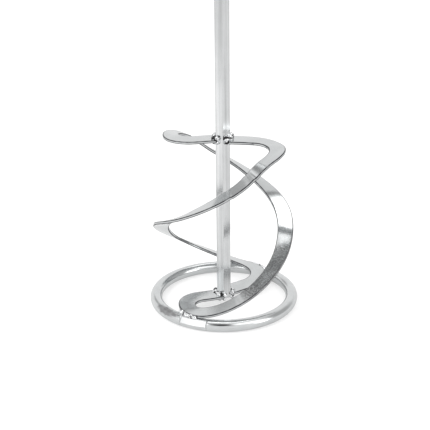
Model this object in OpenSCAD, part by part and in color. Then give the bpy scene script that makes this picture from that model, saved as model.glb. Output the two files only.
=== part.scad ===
// Mortar mixing paddle: a hexagonal bar, two open strip blades that turn around it, and a
// round-bar foot ring. Units are millimetres. The paddle stands on its ring, +Z runs up the
// shaft, and the origin is at the ring's centre on the floor. Nothing moves: every joint is a
// weld.

/* [Overall] */
// Height from the floor to the drive end of the shaft
overall_height = 600; // [400:5:700]

/* [Shaft] */
// Distance across the flats of the hexagonal bar
hex_across_flats = 11.1; // [9:0.1:13]
// Height of the bar's lower end above the floor
shaft_foot_height = 4; // [2:0.5:6]
// Turned chamfer at the drive end
drive_chamfer = 1.2; // [0.4:0.1:2]
// Turned chamfer at the lower end
foot_chamfer = 0.6; // [0.2:0.1:1]

/* [Foot ring] */
// Outer diameter of the ring
ring_outer_diameter = 120; // [116:0.5:130]
// Diameter of the round bar that the ring is bent from
ring_bar_diameter = 9.6; // [8:0.1:11]
// Azimuth of the middle of the ring's closing weld
closing_weld_azimuth = 245; // [241:1:249]
// Angle along the ring that the dressed closing weld covers
closing_weld_span = 22; // [12:1:28]
// Depth of the flat that is ground on the closing weld
closing_weld_flat = 0.7; // [0.2:0.1:1.2]

/* [Blade strip] */
// Radius of the strip's outer edge
blade_outer_radius = 55.8; // [54.5:0.1:57]
// Width of the strip on the turn
strip_width = 12.4; // [10:0.1:15]
// Thickness of the strip
strip_thickness = 2.2; // [1.6:0.1:3]
// Azimuth of the first blade's top arm
top_arm_azimuth = 0; // [-10:1:10]
// Angle turned from a top arm down to the same blade's bottom arm
blade_turn = 333.5; // [326:0.5:340]

/* [Blade arms] */
// Reach of an arm's plate from its centre line, on the side away from the turn
arm_back = 6.3; // [5:0.1:8]
// Reach of an arm's plate on the side of the turn
arm_front = 9.6; // [7:0.1:10.5]
// Outside radius of the corner between an arm and the turn
corner_outer_radius = 26.7; // [24:0.1:29]
// Inside radius of that corner
corner_inner_radius = 12; // [9:0.1:14]
// Rise of the top arm from the rim to the shaft
top_arm_rise = 2.7; // [0:0.1:4]
// Fall of the bottom arm from the ring to the shaft
bottom_arm_fall = 4.4; // [3:0.1:5]

/* [Blade heights] */
// Height of the strip's middle at the rim end of the top arm
top_rim_height = 135.7; // [132:0.1:140]
// Height of the strip's middle 50 degrees down the turn
height_at_50 = 130.9; // [128:0.1:133]
// Height of the strip's middle 80 degrees down the turn
height_at_80 = 113.1; // [110:0.1:117]
// Height of the strip's middle 125 degrees down the turn
height_at_125 = 90.4; // [87:0.1:94]
// Height of the strip's middle 170 degrees down the turn
height_at_170 = 70.9; // [67:0.1:75]
// Height of the strip's middle 215 degrees down the turn
height_at_215 = 44.7; // [41:0.1:49]
// Height of the strip's middle 255 degrees down the turn
height_at_255 = 23.5; // [21:0.1:27]
// Height of the strip's middle 285 degrees down the turn
height_at_285 = 12.8; // [12.5:0.1:15]
// Height of the strip's inner edge over its outer edge where the strip banks most
bank_height = 2.2; // [0:0.1:3]

/* [Hidden] */
// Bar and ring
hex_corner_radius = hex_across_flats / sqrt(3);
hex_turn = 30;
ring_bar_radius = ring_bar_diameter / 2;
ring_centre_radius = ring_outer_diameter / 2 - ring_bar_radius;
chamfer_reach = 4;
closing_flat_tilt = 32;

// Facets of the round shapes
shaft_facets = 96;
ring_facets = 180;
ring_bar_facets = 64;
drop_facets = 32;

// Blades
blade_inner_radius = blade_outer_radius - strip_width;
seat_depth = 0.3;
root_depth = 0.8;
foot_rim_height = ring_bar_diameter + strip_thickness / 2 - seat_depth;
flat_angle = 20;
bank_fade_angle = 30;
bank_peak_angle = 100;
arm_root = hex_across_flats / 2 - root_depth;
arm_steps = 6;
corner_steps = 14;
turn_steps = 96;
height_angles = [flat_angle, 50, 80, 125, 170, 215, 255, 285, blade_turn - flat_angle];
height_values = [
    top_rim_height,
    height_at_50,
    height_at_80,
    height_at_125,
    height_at_170,
    height_at_215,
    height_at_255,
    height_at_285,
    foot_rim_height
];
last_height = len(height_angles) - 1;

// Weld beads
weld_stand_off = 0.5;
arm_weld_ring = hex_corner_radius + weld_stand_off;
arm_weld_from = -48;
arm_weld_to = 66;
arm_weld_drops = 5;
upper_weld_radius = 2.5;
lower_weld_radius = 1.9;
drop_variation = 0.14;
drop_phase = 137;
ring_weld_from = 1.66;
ring_weld_to = 1.92;
ring_weld_outset = 0.9;
ring_weld_height = ring_bar_diameter + 0.3;
ring_weld_radius = 1.9;
ring_weld_drops = 7;

// ---- the strip's height along the turn ----

// Slope at one height station, level at both ends of the turn
function height_slope(i) =
    i == 0 || i == last_height
        ? 0
        : (height_values[i + 1] - height_values[i - 1]) / (height_angles[i + 1] - height_angles[i - 1]);

function height_span(angle, i = 0) =
    i >= last_height - 1 || angle <= height_angles[i + 1] ? i : height_span(angle, i + 1);

function hermite(a, b, slope_a, slope_b, length, t) =
    a * (2 * pow(t, 3) - 3 * pow(t, 2) + 1)
    + slope_a * length * (pow(t, 3) - 2 * pow(t, 2) + t)
    + b * (3 * pow(t, 2) - 2 * pow(t, 3))
    + slope_b * length * (pow(t, 3) - pow(t, 2));

function height_in_span(angle, i) =
    let (length = height_angles[i + 1] - height_angles[i])
    hermite(
        height_values[i],
        height_values[i + 1],
        height_slope(i),
        height_slope(i + 1),
        length,
        (angle - height_angles[i]) / length
    );

function turn_height(angle) =
    let (held = min(max(angle, height_angles[0]), height_angles[last_height]))
    height_in_span(held, height_span(held));

function smooth(t) =
    let (held = min(max(t, 0), 1))
    held * held * (3 - 2 * held);

// Half of the inner edge's height over the outer edge, with none on the level plates at both ends
function half_bank(angle) =
    bank_height / 2 * cos(2 * (angle - bank_peak_angle))
    * smooth((angle - flat_angle) / bank_fade_angle)
    * smooth((blade_turn - flat_angle - angle) / bank_fade_angle);

// ---- the strip's outline, seen along the shaft ----

// Centre of an arc of radius r that touches the arm's edge y and, from inside, the circle of radius rim
function corner_centre(y, r, rim) = [sqrt(pow(rim - r, 2) - pow(y + r, 2)), y + r];

function corner_end(y, r, rim) =
    let (c = corner_centre(y, r, rim))
    atan2(c[1], c[0]);

function corner_point(y, r, rim, t) =
    let (c = corner_centre(y, r, rim), a = -90 + t * (90 + corner_end(y, r, rim)))
    [c[0] + r * cos(a), c[1] + r * sin(a)];

// One edge of an arm and its corner, as [x, y] with x along the arm; t runs 0 to 1 on the arm
// and 1 to 2 on the corner
function arm_edge(y, r, rim, t) =
    t < 1
        ? [arm_root + t * (corner_centre(y, r, rim)[0] - arm_root), y]
        : corner_point(y, r, rim, t - 1);

function arm_outer(t) = arm_edge(-arm_back, corner_outer_radius, blade_outer_radius, t);
function arm_inner(t) = arm_edge(arm_front, corner_inner_radius, blade_inner_radius, t);

// Height that an arm gains or loses from the rim in to the shaft
function arm_lift(p, top) =
    (top ? top_arm_rise : -bottom_arm_fall) * max(0, 1 - norm(p) / blade_inner_radius);

// The arm's plate stays level across its width, and the corner follows the turn; side is -1
// outside and 1 inside
function arm_height(p, t, top, side) =
    let (from_arm = t < 1 ? 0 : atan2(p[1], p[0]), angle = top ? from_arm : blade_turn - from_arm)
    turn_height(angle) + side * half_bank(angle) + arm_lift(p, top);

// A point of the outline in space; the bottom arm is the top arm's mirror image at the far end of the turn
function place(p, height, top) =
    let (angle = top ? atan2(p[1], p[0]) : blade_turn - atan2(p[1], p[0]))
    [norm(p) * cos(angle), -norm(p) * sin(angle), height];

function arm_station(t, top) =
    let (o = arm_outer(t), i = arm_inner(t))
    [place(o, arm_height(o, t, top, -1), top), place(i, arm_height(i, t, top, 1), top)];

function turn_point(radius, angle, side) =
    [radius * cos(angle), -radius * sin(angle), turn_height(angle) + side * half_bank(angle)];

function mix(a, b, t) = a + (b - a) * t;

outer_corner_end = corner_end(-arm_back, corner_outer_radius, blade_outer_radius);
inner_corner_end = corner_end(arm_front, corner_inner_radius, blade_inner_radius);

function turn_station(t) = [
    turn_point(blade_outer_radius, mix(outer_corner_end, blade_turn - outer_corner_end, t), -1),
    turn_point(blade_inner_radius, mix(inner_corner_end, blade_turn - inner_corner_end, t), 1)
];

// Stations from the shaft, out along the top arm, down the turn and back in to the shaft
stations = concat(
    [for (k = [0 : arm_steps - 1]) arm_station(k / arm_steps, true)],
    [for (k = [0 : corner_steps - 1]) arm_station(1 + k / corner_steps, true)],
    [for (k = [0 : turn_steps]) turn_station(k / turn_steps)],
    [for (k = [corner_steps - 1 : -1 : 0]) arm_station(1 + k / corner_steps, false)],
    [for (k = [arm_steps - 1 : -1 : 0]) arm_station(k / arm_steps, false)]
);
last_station = len(stations) - 1;

function unit(v) = v / norm(v);
function upward(v) = v[2] < 0 ? -v : v;
function middle(i) = (stations[i][0] + stations[i][1]) / 2;
function run_direction(i) = unit(middle(min(i + 1, last_station)) - middle(max(i - 1, 0)));
function surface_normal(i) = upward(unit(cross(run_direction(i), stations[i][0] - stations[i][1])));

// Four corners of the strip's section: outer top, outer bottom, inner bottom, inner top
function section(i) =
    let (half = surface_normal(i) * strip_thickness / 2)
    [stations[i][0] + half, stations[i][0] - half, stations[i][1] - half, stations[i][1] + half];

strip_points = [for (i = [0 : last_station], p = section(i)) p];
strip_sides = [
    for (i = [0 : last_station - 1], k = [0 : 3])
        let (a = 4 * i + k, b = 4 * i + (k + 1) % 4)
        each [[a, a + 4, b], [b, a + 4, b + 4]]
];
end_base = 4 * last_station;
strip_ends = [
    [0, 1, 2],
    [0, 2, 3],
    [end_base, end_base + 2, end_base + 1],
    [end_base, end_base + 3, end_base + 2]
];

// ---- sub-parts ----

module hex_bar(low, high) {
    translate([0, 0, low])
        rotate([0, 0, hex_turn])
            cylinder(h = high - low, r = hex_corner_radius, $fn = 6);
}

// A turned envelope whose cones cut the chamfers on the bar's corners
module shaft_envelope() {
    foot_radius = hex_corner_radius - foot_chamfer;
    drive_radius = hex_corner_radius - drive_chamfer;
    plain_length = overall_height - shaft_foot_height - 2 * chamfer_reach;
    translate([0, 0, shaft_foot_height])
        cylinder(h = chamfer_reach, r1 = foot_radius, r2 = foot_radius + chamfer_reach, $fn = shaft_facets);
    translate([0, 0, shaft_foot_height + chamfer_reach])
        cylinder(h = plain_length, r = hex_corner_radius + chamfer_reach, $fn = shaft_facets);
    translate([0, 0, overall_height - chamfer_reach])
        cylinder(h = chamfer_reach, r1 = drive_radius + chamfer_reach, r2 = drive_radius, $fn = shaft_facets);
}

module hex_shaft() {
    color([0.80, 0.81, 0.82])
        intersection() {
            hex_bar(shaft_foot_height, overall_height);
            shaft_envelope();
        }
}

module blade(turned) {
    color([0.78, 0.80, 0.81])
        rotate([0, 0, top_arm_azimuth + turned])
            polyhedron(points = strip_points, faces = concat(strip_sides, strip_ends), convexity = 8);
}

module blade_a() {
    blade(0);
}

module blade_b() {
    blade(180);
}

module foot_ring() {
    color([0.80, 0.81, 0.82])
        rotate([0, 0, closing_weld_azimuth + closing_weld_span / 2])
            rotate_extrude(angle = 360 - closing_weld_span, $fn = ring_facets)
                translate([ring_centre_radius, ring_bar_radius])
                    circle(r = ring_bar_radius, $fn = ring_bar_facets);
}

module ring_closing_weld() {
    color([0.72, 0.73, 0.74])
        rotate([0, 0, closing_weld_azimuth - closing_weld_span / 2])
            rotate_extrude(angle = closing_weld_span, $fn = ring_facets)
                translate([ring_centre_radius, ring_bar_radius])
                    difference() {
                        circle(r = ring_bar_radius, $fn = ring_bar_facets);
                        rotate([0, 0, closing_flat_tilt])
                            translate([ring_bar_radius - closing_weld_flat, -ring_bar_diameter / 2])
                                square([ring_bar_diameter, ring_bar_diameter]);
                    }
}

function drop_radius(radius, k) = radius * (1 + drop_variation * sin(k * drop_phase));

// A bead that runs around one side of the shaft at an arm's root, over or under the plate
module arm_weld(azimuth, height, radius) {
    color([0.66, 0.67, 0.68])
        for (k = [0 : arm_weld_drops - 1])
            rotate([0, 0, azimuth - mix(arm_weld_from, arm_weld_to, k / (arm_weld_drops - 1))])
                translate([arm_weld_ring, 0, height])
                    sphere(r = drop_radius(radius, k), $fn = drop_facets);
}

// Side is 1 over the plate and -1 under it
module top_arm_weld(turned, side) {
    plate_middle = top_rim_height + top_arm_rise;
    arm_weld(
        top_arm_azimuth + turned,
        plate_middle + side * (strip_thickness / 2 + weld_stand_off),
        side > 0 ? upper_weld_radius : lower_weld_radius
    );
}

// The bottom arm is the top arm's mirror image, so its bead runs the other way round
module foot_arm_weld(turned, side) {
    plate_middle = foot_rim_height - bottom_arm_fall;
    rotate([0, 0, top_arm_azimuth - blade_turn + turned])
        mirror([0, 1, 0])
            arm_weld(
                0,
                plate_middle + side * (strip_thickness / 2 + weld_stand_off),
                side > 0 ? upper_weld_radius : lower_weld_radius
            );
}

// A point beside the lower corner's outer edge, over the top of the ring
function ring_weld_point(t) =
    let (p = arm_outer(t))
    place(p * (1 + ring_weld_outset / norm(p)), ring_weld_height, false);

// One drop at point p, turned to face away from the shaft
module ring_weld_drop(p, radius) {
    rotate([0, 0, atan2(p[1], p[0])])
        translate([norm([p[0], p[1]]), 0, p[2]])
            sphere(r = radius, $fn = drop_facets);
}

// A bead along the blade's lower corner where it crosses the top of the ring
module ring_weld(turned) {
    color([0.66, 0.67, 0.68])
        rotate([0, 0, top_arm_azimuth + turned])
            for (k = [0 : ring_weld_drops - 1])
                ring_weld_drop(
                    ring_weld_point(mix(ring_weld_from, ring_weld_to, k / (ring_weld_drops - 1))),
                    drop_radius(ring_weld_radius, k)
                );
}

module ring_weld_a() {
    ring_weld(0);
}

module ring_weld_b() {
    ring_weld(180);
}

module top_weld_a_upper() {
    top_arm_weld(0, 1);
}

module top_weld_a_lower() {
    top_arm_weld(0, -1);
}

module top_weld_b_upper() {
    top_arm_weld(180, 1);
}

module top_weld_b_lower() {
    top_arm_weld(180, -1);
}

module foot_weld_a_upper() {
    foot_arm_weld(0, 1);
}

module foot_weld_a_lower() {
    foot_arm_weld(0, -1);
}

module foot_weld_b_upper() {
    foot_arm_weld(180, 1);
}

module foot_weld_b_lower() {
    foot_arm_weld(180, -1);
}

hex_shaft();
blade_a();
blade_b();
foot_ring();
ring_closing_weld();
ring_weld_a();
ring_weld_b();
top_weld_a_upper();
top_weld_a_lower();
top_weld_b_upper();
top_weld_b_lower();
foot_weld_a_upper();
foot_weld_a_lower();
foot_weld_b_upper();
foot_weld_b_lower();
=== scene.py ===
import math

import bmesh
import bpy
import numpy as np
from mathutils import Matrix, Vector, noise


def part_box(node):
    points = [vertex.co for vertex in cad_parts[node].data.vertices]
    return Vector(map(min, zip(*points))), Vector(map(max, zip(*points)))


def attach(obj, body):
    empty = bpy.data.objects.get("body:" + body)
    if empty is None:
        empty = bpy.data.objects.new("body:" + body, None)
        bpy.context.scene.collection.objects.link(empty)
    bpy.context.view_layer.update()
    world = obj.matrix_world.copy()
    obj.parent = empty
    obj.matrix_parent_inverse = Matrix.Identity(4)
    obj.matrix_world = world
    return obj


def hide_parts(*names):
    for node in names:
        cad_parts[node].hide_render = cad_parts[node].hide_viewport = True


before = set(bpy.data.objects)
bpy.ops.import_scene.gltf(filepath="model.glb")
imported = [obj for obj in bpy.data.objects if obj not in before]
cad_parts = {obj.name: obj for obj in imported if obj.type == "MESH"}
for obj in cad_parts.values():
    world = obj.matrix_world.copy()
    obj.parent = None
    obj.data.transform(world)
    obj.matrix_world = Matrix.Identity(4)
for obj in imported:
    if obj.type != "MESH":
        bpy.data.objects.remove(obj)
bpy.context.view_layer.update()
MM = 0.001


# ---- sizes in millimetres, read from the CAD nodes where a box gives them ----


def node_box(name):
    low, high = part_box(name)
    return [v / MM for v in low], [v / MM for v in high]


SHAFT_LOW, SHAFT_HIGH = node_box("hex_shaft")
RING_TOP = node_box("foot_ring")[1][2]
ACROSS_FLATS = SHAFT_HIGH[0] - SHAFT_LOW[0]
HEX_CORNER = ACROSS_FLATS / math.sqrt(3)
BAR_RADIUS = RING_TOP / 2

# The ring and its closing weld, as in the CAD source; azimuths, span and tilt in degrees
RING_OUTER = 60.0
RING_CENTRE = RING_OUTER - BAR_RADIUS
CLOSING_AZIMUTH = 245.0
CLOSING_SPAN = 22.0
CLOSING_FLAT = 0.7
CLOSING_FLAT_TILT = 32.0

# The blade's strip, as in the CAD source; angles down the turn in degrees
RIM = 55.8
STRIP_WIDTH = 12.4
INNER = RIM - STRIP_WIDTH
THICKNESS = 2.2
TURN = 333.5
ARM_BACK = 6.3
ARM_FRONT = 9.6
CORNER_OUT = 26.7
CORNER_IN = 12.0
ARM_RISE = 2.7
ARM_FALL = 4.4
ARM_ROOT = ACROSS_FLATS / 2 - 0.8
FLAT_ANGLE = 20.0
TOP_RIM = 135.7
SEAT = 0.3
FOOT_RIM = 2 * BAR_RADIUS + THICKNESS / 2 - SEAT
HEIGHT_ANGLES = [FLAT_ANGLE, 50, 80, 125, 170, 215, 255, 285, TURN - FLAT_ANGLE]
HEIGHTS = [TOP_RIM, 130.9, 113.1, 90.4, 70.9, 44.7, 23.5, 12.8, FOOT_RIM]
BANK = 2.2
BANK_PEAK = 100.0
BANK_FADE = 30.0

# Weld beads, as in the CAD source: the arms' run round the shaft in degrees, and the ring's
# along the arm's outer edge, as t in arm_edge
WELD_RING = HEX_CORNER + 0.5
WELD_FROM = -48.0
WELD_TO = 66.0
WELD_STAND_OFF = 0.5
WELD_UPPER = 2.5
WELD_LOWER = 1.9
WELD_DROPS = 5
RING_WELD_FROM = 1.66
RING_WELD_TO = 1.92
RING_WELD_OUTSET = 0.9
RING_WELD_LIFT = 0.3
RING_WELD_DROP = 1.9
RING_WELD_DROPS = 9
DROP_VARIATION = 0.14
DROP_PHASE = 137.0


def smooth(t):
    held = np.clip(t, 0.0, 1.0)
    return held * held * (3 - 2 * held)


# ---- meshes ----


def add_object(name, data):
    obj = bpy.data.objects.new(name, data)
    bpy.context.scene.collection.objects.link(obj)
    return obj


def shade_smooth(mesh):
    mesh.polygons.foreach_set("use_smooth", [True] * len(mesh.polygons))


def mesh_object(name, verts, faces):
    mesh = bpy.data.meshes.new(name)
    mesh.from_pydata([tuple(float(c) * MM for c in v) for v in verts], [], faces)
    mesh.validate()
    shade_smooth(mesh)
    return add_object(name, mesh)


def sweep_faces(stations, ring):
    """Faces of a sweep with ring points at each station, closed by a face at either end."""
    faces = []
    for i in range(stations - 1):
        for k in range(ring):
            a = i * ring + k
            b = i * ring + (k + 1) % ring
            faces.append((a, b, b + ring, a + ring))
    faces.append(tuple(range(ring - 1, -1, -1)))
    faces.append(tuple((stations - 1) * ring + k for k in range(ring)))
    return faces


def point_values(obj, name, values):
    """Stores one value for each vertex, for a material to read."""
    obj.data.attributes.new(name, "FLOAT", "POINT").data.foreach_set("value", values)


def fix_normals(obj):
    work = bmesh.new()
    work.from_mesh(obj.data)
    bmesh.ops.recalc_face_normals(work, faces=work.faces)
    work.to_mesh(obj.data)
    work.free()


# ---- the blade's edges ----

ARM_STEPS = 24
CORNER_STEPS = 60
TURN_STEPS = 600

# Shallow marks where each strip was bent, as (angle down the turn, slant, width and spread in
# degrees, rise in millimetres)
FIRST_MARKS = [
    (57.0, 3.0, 32.0, 0.0, 0.6),
    (66.5, 3.0, 3.4, 15.0, 1.0),
    (86.0, 4.0, 3.6, 14.0, 0.8),
]
SECOND_MARKS = [
    (186.0, 3.0, 28.0, 0.0, 0.45),
    (257.0, -3.0, 3.0, 12.0, 0.2),
]


def turn_height(angle):
    """Height of the middle of the strip, as a smooth curve through HEIGHTS."""
    angles = np.array(HEIGHT_ANGLES, float)
    values = np.array(HEIGHTS, float)
    slopes = np.zeros(len(values))
    slopes[1:-1] = (values[2:] - values[:-2]) / (angles[2:] - angles[:-2])
    held = np.clip(angle, angles[0], angles[-1])
    i = np.clip(np.searchsorted(angles, held, side="left") - 1, 0, len(values) - 2)
    length = angles[i + 1] - angles[i]
    t = (held - angles[i]) / length
    return (
        values[i] * (2 * t**3 - 3 * t**2 + 1)
        + slopes[i] * length * (t**3 - 2 * t**2 + t)
        + values[i + 1] * (3 * t**2 - 2 * t**3)
        + slopes[i + 1] * length * (t**3 - t**2)
    )


def half_bank(angle):
    """How far the strip's inner edge is above its middle, and its outer edge below it."""
    rise = smooth((angle - FLAT_ANGLE) / BANK_FADE)
    fall = smooth((TURN - FLAT_ANGLE - angle) / BANK_FADE)
    return BANK / 2 * np.cos(np.radians(2 * (angle - BANK_PEAK))) * rise * fall


def edge_sizes(side):
    """An edge's offset on the arm, corner radius and rim radius; side is -1 outer or 1 inner."""
    if side > 0:
        return ARM_FRONT, CORNER_IN, INNER
    return -ARM_BACK, CORNER_OUT, RIM


def corner_centre(y, r, rim):
    return math.sqrt((rim - r) ** 2 - (y + r) ** 2), y + r


def corner_end(y, r, rim):
    """The angle down the turn, in degrees, where the corner meets the rim."""
    cx, cy = corner_centre(y, r, rim)
    return math.degrees(math.atan2(cy, cx))


def arm_edge(y, r, rim, t):
    """One edge of an arm (t 0 to 1) and its corner (t 1 to 2), in the plane of the arm."""
    cx, cy = corner_centre(y, r, rim)
    angle = np.radians(-90 + (t - 1) * (90 + corner_end(y, r, rim)))
    on_arm = t < 1
    px = np.where(on_arm, ARM_ROOT + t * (cx - ARM_ROOT), cx + r * np.cos(angle))
    py = np.where(on_arm, y, cy + r * np.sin(angle))
    return px, py


def arm_points(t, top, side):
    y, r, rim = edge_sizes(side)
    px, py = arm_edge(y, r, rim, t)
    reach = np.hypot(px, py)
    polar = np.degrees(np.arctan2(py, px))
    from_arm = np.where(t < 1, 0.0, polar)
    angle = from_arm if top else TURN - from_arm
    lift = (ARM_RISE if top else -ARM_FALL) * np.maximum(0, 1 - reach / INNER)
    z = turn_height(angle) + side * half_bank(angle) + lift
    az = np.radians(polar if top else TURN - polar)
    return np.stack([reach * np.cos(az), -reach * np.sin(az), z], -1)


def press_mark(offset, width, spread, rise):
    """A low crown where spread is 0, and else a small step that fades over the spread."""
    if not spread:
        crown = rise * np.cos(math.pi * offset / width) ** 2
        return np.where(np.abs(offset / width) < 0.5, crown, 0.0)
    return rise * (smooth(offset / width + 0.5) - smooth(offset / spread + 0.5))


def press_marks(marks, angle, side):
    height = np.zeros_like(angle)
    for at, slant, width, spread, rise in marks:
        height += press_mark(angle - at - side * slant / 2, width, spread, rise)
    return height


def turn_points(radius, angle, side, marks):
    a = np.radians(angle)
    z = turn_height(angle) + side * half_bank(angle) + press_marks(marks, angle, side)
    return np.stack([radius * np.cos(a), -radius * np.sin(a), z], -1)


def strip_edges(marks):
    """The strip's outer and inner edges at its middle surface, from the shaft and back to it."""
    on_arm = np.arange(ARM_STEPS) / ARM_STEPS
    on_corner = 1 + np.arange(CORNER_STEPS) / CORNER_STEPS
    t = np.concatenate([on_arm, on_corner])
    s = np.linspace(0, 1, TURN_STEPS + 1)
    edges = []
    for side in (-1, 1):
        y, r, rim = edge_sizes(side)
        start = corner_end(y, r, rim)
        turn = turn_points(rim, start + (TURN - 2 * start) * s, side, marks)
        top_arm = arm_points(t, True, side)
        foot_arm = arm_points(t[::-1], False, side)
        edges.append(np.concatenate([top_arm, turn, foot_arm]))
    return edges


# ---- the blade's mesh ----

EDGE_ROUND = 0.5
EDGE_ARC = 5
EDGE_SUPPORT = 0.35

# The stretch of the second blade's turn where the plate is matte, in degrees down the turn
MATTE_FROM = 196.0
MATTE_TO = 256.0
MATTE_FADE = 7.0
MATTE_RAGGED = 3.0
MATTE_GRAIN = 0.2


def unit_rows(v):
    return v / np.linalg.norm(v, axis=1)[:, None]


def strip_frames(outer, inner):
    """At each station: the middle, the directions across and up, and half the width."""
    middle = (outer + inner) / 2
    run = np.gradient(middle, axis=0)
    across = outer - inner
    normal = unit_rows(np.cross(run, across))
    normal *= np.where(normal[:, 2] < 0, -1.0, 1.0)[:, None]
    return middle, unit_rows(across), normal, np.linalg.norm(across, axis=1) / 2


def strip_section(half_width):
    """Points round the strip's section, as (towards the outer edge, towards the upper face), with
    support points beside each rounded edge so that the flats stay flat."""
    points = []
    for corner in range(4):
        sx = 1 if corner in (0, 3) else -1
        sy = 1 if corner in (0, 1) else -1
        cx = sx * (half_width - EDGE_ROUND)
        cy = sy * (THICKNESS / 2 - EDGE_ROUND)
        arc = []
        for k in range(EDGE_ARC + 1):
            a = math.radians(90 * corner + 90 * k / EDGE_ARC)
            arc.append((cx + EDGE_ROUND * math.cos(a), cy + EDGE_ROUND * math.sin(a)))
        a = math.radians(90 * corner)
        lead = (arc[0][0] + EDGE_SUPPORT * math.sin(a), arc[0][1] - EDGE_SUPPORT * math.cos(a))
        a = math.radians(90 * corner + 90)
        trail = (arc[-1][0] - EDGE_SUPPORT * math.sin(a), arc[-1][1] + EDGE_SUPPORT * math.cos(a))
        points.extend([lead] + arc + [trail])
    return points


def arris_share(k):
    """1 on a rounded edge and 0 on the flats, for point k of the strip's section."""
    step = k % (EDGE_ARC + 3) - 1
    return 1.0 if 0 <= step <= EDGE_ARC else 0.0


def matte_share(point, turned):
    """1 inside the matte stretch of a blade's turn, with a ragged start and end, and 0 outside."""
    angle = (math.degrees(math.atan2(-point[1], point[0])) + turned) % 360
    if not MATTE_FROM - MATTE_FADE < angle < MATTE_TO + MATTE_FADE:
        return 0.0
    ragged = MATTE_RAGGED * noise.noise(Vector(point) * MATTE_GRAIN)
    start = smooth((angle - MATTE_FROM + ragged) / MATTE_FADE)
    end = smooth((MATTE_TO - angle + ragged) / MATTE_FADE)
    return float(start * end)


def turn_about_shaft(points, degrees):
    a = math.radians(degrees)
    turn = np.array([[math.cos(a), -math.sin(a), 0], [math.sin(a), math.cos(a), 0], [0, 0, 1]])
    return points @ turn.T


def blade(name, node, turned, marks, matte):
    outer, inner = strip_edges(marks)
    middle, across, normal, half_width = strip_frames(outer, inner)
    verts = []
    for m, a, n, w in zip(middle, across, normal, half_width):
        verts.extend(m + a * p[0] + n * p[1] for p in strip_section(w))
    verts = turn_about_shaft(np.array(verts), turned)
    ring = len(verts) // len(middle)
    obj = mesh_object(name, verts, sweep_faces(len(middle), ring))
    point_values(obj, "arris", [arris_share(k) for k in range(ring)] * len(middle))
    point_values(obj, "matte", [matte_share(v, turned) if matte else 0.0 for v in verts])
    fix_normals(obj)
    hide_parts(node)
    return obj


# ---- shaft ----

SHAFT_ROUND = 0.35
SHAFT_ARC = 4
SHAFT_SUPPORT = 0.1
FLAT_STEPS = 4
SHAFT_STEPS = 120
FOOT_CHAMFER = 0.6
DRIVE_CHAMFER = 1.2
CHAMFER_STEPS = 6


def hex_corner(corner):
    """A lightly rounded corner of the bar, with a support point on the flat either side of it."""
    middle = math.radians(30 + 60 * corner)
    inset = SHAFT_ROUND / math.cos(math.radians(30))
    cx = (HEX_CORNER - inset) * math.cos(middle)
    cy = (HEX_CORNER - inset) * math.sin(middle)
    points = []
    for k in range(-1, SHAFT_ARC + 2):
        step = min(max(k, 0), SHAFT_ARC)
        a = middle + math.radians(-30 + 60 * step / SHAFT_ARC)
        x = cx + SHAFT_ROUND * math.cos(a)
        y = cy + SHAFT_ROUND * math.sin(a)
        slide = SHAFT_SUPPORT * (k - step)
        points.append((x - slide * math.sin(a), y + slide * math.cos(a)))
    return points


def hex_flat(corner):
    """Points along the flat that follows a corner."""
    flat = math.radians(60 + 60 * corner)
    points = []
    for k in range(1, FLAT_STEPS):
        along = HEX_CORNER * (k / FLAT_STEPS - 0.5)
        x = ACROSS_FLATS / 2 * math.cos(flat) - along * math.sin(flat)
        y = ACROSS_FLATS / 2 * math.sin(flat) + along * math.cos(flat)
        points.append((x, y))
    return points


def held_within(x, y, limit):
    """The point, drawn in to limit where it lies outside it; a limit of None leaves it."""
    if limit is None:
        return x, y
    reach = math.hypot(x, y)
    held = min(reach, limit)
    return x * held / reach, y * held / reach


def hex_outline(limit):
    points = []
    for corner in range(6):
        points.extend(hex_corner(corner) + hex_flat(corner))
    return [held_within(x, y, limit) for x, y in points]


def shaft_levels():
    """Heights up the shaft, each with its turned chamfer's radius, or None between the chamfers."""
    low, high = SHAFT_LOW[2], SHAFT_HIGH[2]
    straight = high - low - FOOT_CHAMFER - DRIVE_CHAMFER
    levels = []
    for k in range(CHAMFER_STEPS):
        z = low + FOOT_CHAMFER * k / CHAMFER_STEPS
        levels.append((z, HEX_CORNER - FOOT_CHAMFER * (1 - k / CHAMFER_STEPS)))
    for k in range(SHAFT_STEPS + 1):
        levels.append((low + FOOT_CHAMFER + straight * k / SHAFT_STEPS, None))
    for k in range(1, CHAMFER_STEPS + 1):
        z = high - DRIVE_CHAMFER * (1 - k / CHAMFER_STEPS)
        levels.append((z, HEX_CORNER - DRIVE_CHAMFER * k / CHAMFER_STEPS))
    return levels


def shaft():
    levels = shaft_levels()
    verts = []
    for z, limit in levels:
        verts.extend((x, y, z) for x, y in hex_outline(limit))
    obj = mesh_object("shaft", verts, sweep_faces(len(levels), len(verts) // len(levels)))
    fix_normals(obj)
    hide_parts("hex_shaft")
    return obj


# ---- ring and its closing weld ----

RING_STEPS = 300
RING_SIDES = 48
CLOSING_STEPS = 40
CLOSING_SIDES = 72

# A patch that was ground beside the closing weld: azimuth and tilt on the bar in degrees, the
# half-sizes of its ellipse, and its ragged edge
PATCH_AZIMUTH = 218.0
PATCH_HALF = 13.0
PATCH_TILT = 52.0
PATCH_TILT_HALF = 40.0
PATCH_EDGE = 1.05
PATCH_FADE = 0.2
PATCH_RAGGED = 0.35
PATCH_GRAIN_ROUND = 0.35
PATCH_GRAIN_TILT = 0.08


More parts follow.
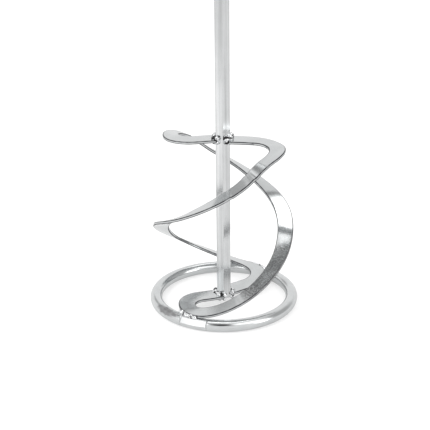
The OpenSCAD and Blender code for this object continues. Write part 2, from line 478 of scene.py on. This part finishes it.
def patch_share(azimuth, x, z):
    """1 inside the ground patch, with a ragged edge, and 0 outside it."""
    tilt = math.degrees(math.atan2(z, x))
    beside = (azimuth % 360 - PATCH_AZIMUTH) / PATCH_HALF
    reach = math.hypot(beside, (tilt - PATCH_TILT) / PATCH_TILT_HALF)
    place = Vector((azimuth * PATCH_GRAIN_ROUND, tilt * PATCH_GRAIN_TILT, 0.0))
    ragged = PATCH_RAGGED * noise.noise(place)
    return float(min(max((PATCH_EDGE - reach - ragged) / PATCH_FADE, 0.0), 1.0))


def bar_arc(name, start, end, steps, section):
    """A length of the ring's bar; its arris value is 1 on the ground patch."""
    verts = []
    ground = []
    for i in range(steps + 1):
        azimuth = start + (end - start) * i / steps
        a = math.radians(azimuth)
        for x, z in section:
            reach = RING_CENTRE + x
            verts.append((reach * math.cos(a), reach * math.sin(a), BAR_RADIUS + z))
            ground.append(patch_share(azimuth, x, z))
    obj = mesh_object(name, verts, sweep_faces(steps + 1, len(section)))
    point_values(obj, "arris", ground)
    fix_normals(obj)
    return obj


def round_section(sides):
    angles = [2 * math.pi * k / sides for k in range(sides)]
    return [(BAR_RADIUS * math.cos(a), BAR_RADIUS * math.sin(a)) for a in angles]


def ring():
    start = CLOSING_AZIMUTH + CLOSING_SPAN / 2
    end = start + 360 - CLOSING_SPAN
    obj = bar_arc("ring", start, end, RING_STEPS, round_section(RING_SIDES))
    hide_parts("foot_ring")
    return obj


def closing_weld():
    """The ring's bar with one flat ground on it."""
    tilt = math.radians(CLOSING_FLAT_TILT)
    section = []
    for x, z in round_section(CLOSING_SIDES):
        out = min(x * math.cos(tilt) + z * math.sin(tilt), BAR_RADIUS - CLOSING_FLAT)
        side = -x * math.sin(tilt) + z * math.cos(tilt)
        flat_x = out * math.cos(tilt) - side * math.sin(tilt)
        flat_z = out * math.sin(tilt) + side * math.cos(tilt)
        section.append((flat_x, flat_z))
    start = CLOSING_AZIMUTH - CLOSING_SPAN / 2
    obj = bar_arc("closing_weld", start, start + CLOSING_SPAN, CLOSING_STEPS, section)
    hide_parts("ring_closing_weld")
    return obj


# ---- weld beads ----

BEAD_VOXEL = 0.22
BEAD_LUMP = 0.35
BEAD_LUMP_MIDDLE = 0.3
BEAD_GRAIN = 1.9
ARM_SEED = 0.7
ARM_SEED_STEP = 3.1
RING_SEED = 21.0


def drop_radius(radius, k):
    return radius * (1 + DROP_VARIATION * math.sin(math.radians(k * DROP_PHASE)))


def joined_drops(name, drops):
    """One closed mesh made of drops, each (centre, radius) in millimetres."""
    work = bmesh.new()
    for centre, radius in drops:
        place = Matrix.Translation(Vector(centre) * MM)
        bmesh.ops.create_icosphere(work, subdivisions=3, radius=radius * MM, matrix=place)
    mesh = bpy.data.meshes.new(name)
    work.to_mesh(mesh)
    work.free()
    rough = add_object(name + "_rough", mesh)
    remesh = rough.modifiers.new("merge", "REMESH")
    remesh.mode = "VOXEL"
    remesh.voxel_size = BEAD_VOXEL * MM
    graph = bpy.context.evaluated_depsgraph_get()
    final = bpy.data.meshes.new_from_object(rough.evaluated_get(graph))
    bpy.data.objects.remove(rough)
    final.name = name
    return final


def soften(work):
    axes = {"use_axis_x": True, "use_axis_y": True, "use_axis_z": True}
    bmesh.ops.smooth_vert(work, verts=work.verts, factor=0.5, **axes)


def make_lumpy(mesh, seed):
    work = bmesh.new()
    work.from_mesh(mesh)
    soften(work)
    work.normal_update()
    offset = Vector((seed, 2.3 * seed, -1.7 * seed))
    shifts = []
    for vert in work.verts:
        lump = noise.noise(vert.co / MM / BEAD_GRAIN + offset) - BEAD_LUMP_MIDDLE
        shifts.append(vert.normal * BEAD_LUMP * MM * lump)
    for vert, shift in zip(work.verts, shifts):
        vert.co += shift
    soften(work)
    soften(work)
    work.to_mesh(mesh)
    work.free()


def bead(name, drops, seed):
    mesh = joined_drops(name, drops)
    obj = add_object(name, mesh)
    make_lumpy(mesh, seed)
    shade_smooth(mesh)
    return obj


def arm_drops(azimuth, height, radius, mirrored):
    drops = []
    for k in range(WELD_DROPS):
        turned = WELD_FROM + (WELD_TO - WELD_FROM) * k / (WELD_DROPS - 1)
        a = math.radians(azimuth + turned if mirrored else azimuth - turned)
        centre = (WELD_RING * math.cos(a), WELD_RING * math.sin(a), height)
        drops.append((centre, drop_radius(radius, k)))
    return drops


def arm_weld(end, blade_name, side):
    top = end == "top"
    over = side == "upper"
    turned = 0 if blade_name == "a" else 180
    azimuth = turned if top else turned - TURN
    plate = TOP_RIM + ARM_RISE if top else FOOT_RIM - ARM_FALL
    height = plate + (1 if over else -1) * (THICKNESS / 2 + WELD_STAND_OFF)
    drops = arm_drops(azimuth, height, WELD_UPPER if over else WELD_LOWER, not top)
    node = f"{end}_weld_{blade_name}_{side}"
    number = (0 if top else 4) + (0 if blade_name == "a" else 2) + (1 if over else 0)
    obj = bead(node + "_bead", drops, ARM_SEED_STEP * number + ARM_SEED)
    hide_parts(node)
    return obj


def ring_weld(blade_name):
    turned = 0 if blade_name == "a" else 180
    run = RING_WELD_TO - RING_WELD_FROM
    drops = []
    for k in range(RING_WELD_DROPS):
        t = np.array([RING_WELD_FROM + run * k / (RING_WELD_DROPS - 1)])
        px, py = arm_edge(*edge_sizes(-1), t)
        polar = math.degrees(math.atan2(py[0], px[0]))
        a = math.radians(turned - (TURN - polar))
        reach = math.hypot(px[0], py[0]) + RING_WELD_OUTSET
        centre = (reach * math.cos(a), reach * math.sin(a), 2 * BAR_RADIUS + RING_WELD_LIFT)
        drops.append((centre, drop_radius(RING_WELD_DROP, k)))
    node = "ring_weld_" + blade_name
    obj = bead(node + "_bead", drops, RING_SEED + turned)
    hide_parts(node)
    return obj


# ---- shader nodes ----


def new_material(name):
    material = bpy.data.materials.new(name)
    material.use_nodes = True
    return material, material.node_tree, material.node_tree.nodes["Principled BSDF"]


def noise_node(tree, coords, scale, detail, rough=0.5):
    node = tree.nodes.new("ShaderNodeTexNoise")
    node.inputs["Scale"].default_value = scale
    node.inputs["Detail"].default_value = detail
    node.inputs["Roughness"].default_value = rough
    tree.links.new(coords, node.inputs["Vector"])
    return node.outputs["Fac"]


def ramp(tree, value, low, high, out_low, out_high):
    node = tree.nodes.new("ShaderNodeMapRange")
    node.inputs["From Min"].default_value = low
    node.inputs["From Max"].default_value = high
    node.inputs["To Min"].default_value = out_low
    node.inputs["To Max"].default_value = out_high
    tree.links.new(value, node.inputs["Value"])
    return node.outputs["Result"]


def feed(tree, socket, value):
    """Sets a socket to a plain number, or links it to another socket."""
    if isinstance(value, (int, float)):
        socket.default_value = value
    else:
        tree.links.new(value, socket)


def math_node(tree, operation, *values):
    node = tree.nodes.new("ShaderNodeMath")
    node.operation = operation
    for socket, value in zip(node.inputs, values):
        feed(tree, socket, value)
    return node.outputs["Value"]


def colour_mix(tree, factor, first, second):
    """The first colour where the factor is 0, and the second where it is 1; the first is a plain
    colour or a socket."""
    node = tree.nodes.new("ShaderNodeMix")
    node.data_type = "RGBA"
    if isinstance(first, tuple):
        node.inputs["A"].default_value = (*first, 1)
    else:
        tree.links.new(first, node.inputs["A"])
    node.inputs["B"].default_value = (*second, 1)
    tree.links.new(factor, node.inputs["Factor"])
    return node.outputs["Result"]


def bump(tree, height, strength, distance, normal=None):
    node = tree.nodes.new("ShaderNodeBump")
    node.inputs["Strength"].default_value = strength
    node.inputs["Distance"].default_value = distance
    tree.links.new(height, node.inputs["Height"])
    if normal is not None:
        tree.links.new(normal, node.inputs["Normal"])
    return node.outputs["Normal"]


def point_value(tree, name):
    node = tree.nodes.new("ShaderNodeAttribute")
    node.attribute_name = name
    return node.outputs["Fac"]


def object_coords(tree):
    return tree.nodes.new("ShaderNodeTexCoord").outputs["Object"]


def stretched_coords(tree, coords, stretch):
    node = tree.nodes.new("ShaderNodeVectorMath")
    node.operation = "MULTIPLY"
    node.inputs[1].default_value = stretch
    tree.links.new(coords, node.inputs[0])
    return node.outputs["Vector"]


# ---- materials; scales of noise in waves per metre, bump depths in metres ----

WAVE_SCALE = 55
CLOUD_SCALE = 90
DRAWN_SCALE = 420
FINE_SCALE = 1400
GRAIN_SCALE = 2600
BROKEN_SCALE = 260
SPOT_SCALE = 1000
CLOUD_DARKER = 0.93
STREAK_FULL = 0.25
ARRIS_ROUGHER = 0.3
MATTE_ROUGHER = 0.09
WAVE_STRENGTH = 0.25
WAVE_DEPTH = 0.0004
SPECKLE_DEPTH = 0.00003

WELD_CLOUD_SCALE = 340
WELD_RIPPLE_SCALE = 900
WELD_RIPPLE_DEPTH = 0.0002
WELD_SPOT = (0.03, 0.03, 0.03)
WELD_METAL = (0.84, 0.85, 0.86)

BAR_TINT = (0.75, 0.76, 0.765)
BAR_STRETCH = (1, 1, 0.02)
STRIP_TINT = (0.625, 0.64, 0.645)
# painted shade: near-black on the strip's rounded edges, standing in for the dark reflections and shadow
# along each edge
STRIP_ARRIS_SHADE = (0.05, 0.05, 0.055)
STRIP_MATTE = (0.2, 0.2, 0.2)
RING_TINT = (0.67, 0.685, 0.69)
RING_PATCH = (0.3, 0.3, 0.305)
DRESSED_TINT = (0.68, 0.69, 0.695)


def clouded_tint(tree, coords, drawn, tint, streak):
    """The tint, with clouds of a darker one and streak's share of it as drawn lines."""
    cloud = noise_node(tree, coords, CLOUD_SCALE, 3)
    clouds = ramp(tree, cloud, 0.35, 0.65, 0, 1 - streak / STREAK_FULL)
    lines = ramp(tree, drawn, 0.35, 0.65, 0, streak / STREAK_FULL)
    darker = tuple(c * (CLOUD_DARKER - streak) for c in tint)
    return colour_mix(tree, math_node(tree, "ADD", clouds, lines), darker, tint)


def arris_layer(tree, coords, colour, rough, arris):
    """A darker colour where the mesh's arris value is 1, broken up by noise, and rougher there; on the
    strip's rounded edges it is painted shade, on the ring the ground patch.
    """
    mark = point_value(tree, "arris")
    broken = ramp(tree, noise_node(tree, coords, BROKEN_SCALE, 3), 0.35, 0.55, 0.75, 1.0)
    amount = math_node(tree, "MULTIPLY", mark, broken)
    rougher = math_node(tree, "MULTIPLY_ADD", mark, ARRIS_ROUGHER, rough)
    return colour_mix(tree, amount, colour, arris), rougher


def matte_layer(tree, coords, colour, rough, matte):
    """Dull spots where the mesh's matte value is 1, and rougher there."""
    band = point_value(tree, "matte")
    spots = ramp(tree, noise_node(tree, coords, SPOT_SCALE, 2, 0.6), 0.4, 0.6, 0.0, 0.85)
    amount = math_node(tree, "MULTIPLY", band, spots)
    rougher = math_node(tree, "MULTIPLY_ADD", band, MATTE_ROUGHER, rough)
    return colour_mix(tree, amount, colour, matte), rougher


def zinc(name, tint, roughness, stretch=(1, 1, 1), speckle=0.35, streak=0.0, arris=None, matte=None):
    """Bright zinc plate over steel: a bluish white metal with clouds, fine speckle and soft waves."""
    material, tree, shader = new_material(name)
    coords = object_coords(tree)
    along = stretched_coords(tree, coords, stretch)
    drawn = noise_node(tree, along, DRAWN_SCALE, 2, 0.6)
    fine = noise_node(tree, along, FINE_SCALE, 2, 0.6)
    grain = noise_node(tree, coords, GRAIN_SCALE, 1)
    colour = clouded_tint(tree, coords, drawn, tint, streak)
    rough = ramp(tree, fine, 0.3, 0.7, roughness * 0.8, roughness * 1.3)
    if arris is not None:
        colour, rough = arris_layer(tree, coords, colour, rough, arris)
    if matte is not None:
        colour, rough = matte_layer(tree, coords, colour, rough, matte)
    waves = bump(tree, noise_node(tree, along, WAVE_SCALE, 2), WAVE_STRENGTH, WAVE_DEPTH)
    grained = bump(tree, grain, speckle, SPECKLE_DEPTH, waves)
    normal = bump(tree, fine, speckle, SPECKLE_DEPTH, grained)
    tree.links.new(colour, shader.inputs["Base Color"])
    shader.inputs["Metallic"].default_value = 1.0
    tree.links.new(rough, shader.inputs["Roughness"])
    tree.links.new(normal, shader.inputs["Normal"])
    return material


def weld_material(name, spotted):
    """Lumpy bright weld metal, with a dark spot wherever its noise is below spotted."""
    material, tree, shader = new_material(name)
    coords = object_coords(tree)
    cloud = noise_node(tree, coords, WELD_CLOUD_SCALE, 2)
    clear = ramp(tree, cloud, spotted - 0.09, spotted, 0, 1)
    colour = colour_mix(tree, clear, WELD_SPOT, WELD_METAL)
    rough = ramp(tree, cloud, 0.3, 0.7, 0.08, 0.2)
    ripple = noise_node(tree, coords, WELD_RIPPLE_SCALE, 2)
    normal = bump(tree, ripple, 0.5, WELD_RIPPLE_DEPTH)
    tree.links.new(colour, shader.inputs["Base Color"])
    shader.inputs["Metallic"].default_value = 1.0
    tree.links.new(rough, shader.inputs["Roughness"])
    tree.links.new(normal, shader.inputs["Normal"])
    return material


def paint(obj, material):
    obj.data.materials.clear()
    obj.data.materials.append(material)
    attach(obj, "root")


# ---- floor and lamps ----

FLOOR_HALF = 20.0
FLOOR_GREY = 0.42
FLOOR_GLOW = 0.38
FLOOR_GLOW_SEEN = 0.62


def stage_floor():
    """A pale floor that shows white and looks greyer in the metal."""
    corners = [(-1, -1), (1, -1), (1, 1), (-1, 1)]
    verts = [(x * FLOOR_HALF, y * FLOOR_HALF, 0) for x, y in corners]
    mesh = bpy.data.meshes.new("floor")
    mesh.from_pydata(verts, [], [(0, 1, 2, 3)])
    obj = add_object("floor", mesh)
    material, tree, shader = new_material("floor")
    shader.inputs["Base Color"].default_value = (FLOOR_GREY, FLOOR_GREY, FLOOR_GREY, 1)
    shader.inputs["Roughness"].default_value = 0.9
    shader.inputs["Specular IOR Level"].default_value = 0.1
    shader.inputs["Emission Color"].default_value = (1, 1, 1, 1)
    seen = tree.nodes.new("ShaderNodeLightPath").outputs["Is Camera Ray"]
    glow = ramp(tree, seen, 0, 1, FLOOR_GLOW, FLOOR_GLOW_SEEN)
    tree.links.new(glow, shader.inputs["Emission Strength"])
    mesh.materials.append(material)


def area_light(name, place, target, side, power):
    """A square lamp that the camera doesn't see."""
    data = bpy.data.lights.new(name, "AREA")
    data.shape = "RECTANGLE"
    data.size = side
    data.size_y = side
    data.energy = power
    obj = add_object(name, data)
    obj.location = place
    obj.rotation_euler = (Vector(target) - Vector(place)).to_track_quat("-Z", "Y").to_euler()
    obj.visible_camera = False
    return obj


def lamps():
    area_light("overhead", place=(0.1, 0.1, 1.9), target=(0, 0, 0), side=0.8, power=2.0)
    left = area_light("left", place=(-0.5, -0.29, 0.55), target=(-0.14, -0.08, 0), side=0.5, power=3.2)
    left.visible_glossy = False


# ---- the studio that the metal reflects ----

SKY_TONE = 0.98


def unit_direction(azimuth, elevation):
    a, e = math.radians(azimuth), math.radians(elevation)
    return Vector((math.cos(a) * math.cos(e), math.sin(a) * math.cos(e), math.sin(e)))


class Sky:
    """A pale studio seen in the metal: an even tone, with soft-edged lighter and darker panels."""

    def __init__(self, world, base):
        world.use_nodes = True
        self.tree = world.node_tree
        self.direction = self.tree.nodes.new("ShaderNodeTexCoord").outputs["Generated"]
        self.value = base

    def dot(self, vector):
        node = self.tree.nodes.new("ShaderNodeVectorMath")
        node.operation = "DOT_PRODUCT"
        node.inputs[1].default_value = vector
        self.tree.links.new(self.direction, node.inputs[0])
        return node.outputs["Value"]

    def math(self, operation, *values):
        return math_node(self.tree, operation, *values)

    def ellipse_reach(self, centre, across, half, turn):
        """Distance from the panel's centre, as a share of the distance to its edge."""
        upward = centre.cross(across)
        tilt = math.radians(turn)
        first = across * math.cos(tilt) + upward * math.sin(tilt)
        second = upward * math.cos(tilt) - across * math.sin(tilt)
        x = self.dot(first / math.sin(math.radians(half[0])))
        y = self.dot(second / math.sin(math.radians(half[1])))
        return self.math("SQRT", self.math("ADD", self.math("MULTIPLY", x, x), self.math("MULTIPLY", y, y)))

    def panel(self, at, half, tone, soft, turn=0.0):
        """Sets the tone inside an ellipse: at is its azimuth and elevation, half its half-angles
        across and up, soft the share of it over which it fades."""
        centre = unit_direction(*at)
        across = unit_direction(at[0] + 90, 0)
        edge = self.tree.nodes.new("ShaderNodeMapRange")
        edge.interpolation_type = "SMOOTHSTEP"
        edge.inputs["From Min"].default_value = 1 + soft
        edge.inputs["From Max"].default_value = 1 - soft
        self.tree.links.new(self.ellipse_reach(centre, across, half, turn), edge.inputs["Value"])
        front = self.math("GREATER_THAN", self.dot(centre), 0.0)
        mask = self.math("MULTIPLY", edge.outputs["Result"], front)
        mix = self.tree.nodes.new("ShaderNodeMix")
        mix.data_type = "FLOAT"
        feed(self.tree, mix.inputs["A"], self.value)
        mix.inputs["B"].default_value = tone
        self.tree.links.new(mask, mix.inputs["Factor"])
        self.value = mix.outputs["Result"]


def hang_panels(sky):
    """Later panels cover earlier ones. Azimuth 0 is the paddle's right, and -90 its front."""
    # right
    sky.panel(at=(10, 28), half=(32, 26), tone=0.52, soft=0.5)
    # behind, to the left
    sky.panel(at=(123.5, 27.5), half=(11, 8), tone=0.56, soft=0.25)
    sky.panel(at=(141, 34), half=(4, 3), tone=1.3, soft=0.5)
    sky.panel(at=(143.5, 49.5), half=(14, 8), tone=0.2, soft=0.2, turn=52)
    # behind
    sky.panel(at=(106, 54), half=(6, 6), tone=1.8, soft=0.4)
    # front: a broad grey one with a dark core, where a camera and its operator would stand
    sky.panel(at=(-115, 42), half=(34, 20), tone=0.62, soft=0.5)
    sky.panel(at=(-95, 40), half=(15, 18), tone=0.07, soft=0.4)
    # behind, to the right
    sky.panel(at=(49, 53), half=(8, 3.5), tone=0.35, soft=0.5)
    # overhead
    sky.panel(at=(57, 72.5), half=(9, 14.5), tone=2.2, soft=0.15)
    sky.panel(at=(165, 77.5), half=(9, 14.5), tone=2.2, soft=0.15)
    # bright ones at the front left and front right
    sky.panel(at=(-147, 29), half=(17, 17), tone=1.65, soft=0.4)
    sky.panel(at=(-128, 33), half=(12, 7), tone=2.3, soft=0.5)
    sky.panel(at=(-45, 42), half=(22, 15), tone=1.9, soft=0.4)
    sky.panel(at=(-30, 17), half=(12, 14), tone=3.0, soft=0.4)


def studio_world():
    """Plain white to the camera, and the panelled studio to the metal."""
    world = bpy.data.worlds.new("studio")
    bpy.context.scene.world = world
    sky = Sky(world, SKY_TONE)
    hang_panels(sky)
    nodes, links = sky.tree.nodes, sky.tree.links
    background = nodes["Background"]
    background.inputs["Color"].default_value = (1, 1, 1, 1)
    links.new(sky.value, background.inputs["Strength"])
    plain = nodes.new("ShaderNodeBackground")
    plain.inputs["Color"].default_value = (1, 1, 1, 1)
    mix = nodes.new("ShaderNodeMixShader")
    links.new(nodes.new("ShaderNodeLightPath").outputs["Is Camera Ray"], mix.inputs["Fac"])
    links.new(background.outputs["Background"], mix.inputs[1])
    links.new(plain.outputs["Background"], mix.inputs[2])
    links.new(mix.outputs["Shader"], nodes["World Output"].inputs["Surface"])


# ---- camera, fitted to the picture; lengths in millimetres, angles in degrees ----

PICTURE_PIXELS = 430
FOCAL_PIXELS = 1052.05
SENSOR_WIDTH = 36.0
CAMERA_DISTANCE = 837.15
CAMERA_ELEVATION = 21.57
CAMERA_ROLL = -0.598
CAMERA_TARGET = (-6.57, 0, 75.0)
CLIP_START = 0.01


def camera():
    elevation = math.radians(CAMERA_ELEVATION)
    roll = math.radians(CAMERA_ROLL)
    forward = Vector((0, math.cos(elevation), -math.sin(elevation)))
    right = Vector((1, 0, 0))
    up = right.cross(forward)
    right_rolled = math.cos(roll) * right + math.sin(roll) * up
    up_rolled = -math.sin(roll) * right + math.cos(roll) * up
    turn = Matrix((right_rolled, up_rolled, -forward)).transposed()
    place = Vector(CAMERA_TARGET) * MM - forward * (CAMERA_DISTANCE * MM)
    data = bpy.data.cameras.new("camera")
    data.sensor_width = SENSOR_WIDTH
    data.lens = SENSOR_WIDTH * FOCAL_PIXELS / PICTURE_PIXELS
    data.clip_start = CLIP_START
    obj = add_object("camera", data)
    obj.matrix_world = Matrix.Translation(place) @ turn.to_4x4()
    bpy.context.scene.camera = obj


# ---- the whole paddle ----


def paddle():
    bar_zinc = zinc("bar_zinc", BAR_TINT, 0.16, stretch=BAR_STRETCH, streak=0.2)
    # the strip's arris colour is painted shade, a dark line along its rounded edges
    strip_zinc = zinc("strip_zinc", STRIP_TINT, 0.12, arris=STRIP_ARRIS_SHADE, matte=STRIP_MATTE)
    ring_zinc = zinc("ring_zinc", RING_TINT, 0.14, arris=RING_PATCH)
    dressed = zinc("dressed_weld", DRESSED_TINT, 0.2, speckle=0.6)
    arm_bead = weld_material("arm_bead", 0.52)
    ring_bead = weld_material("ring_bead", 0.47)
    paint(shaft(), bar_zinc)
    paint(blade("blade_first", "blade_a", 0, FIRST_MARKS, matte=False), strip_zinc)
    paint(blade("blade_second", "blade_b", 180, SECOND_MARKS, matte=True), strip_zinc)
    paint(ring(), ring_zinc)
    paint(closing_weld(), dressed)
    for end in ("top", "foot"):
        for blade_name in ("a", "b"):
            for side in ("upper", "lower"):
                paint(arm_weld(end, blade_name, side), arm_bead)
    for blade_name in ("a", "b"):
        paint(ring_weld(blade_name), ring_bead)


paddle()
stage_floor()
studio_world()
camera()
lamps()
bpy.context.scene.view_settings.view_transform = "Standard"
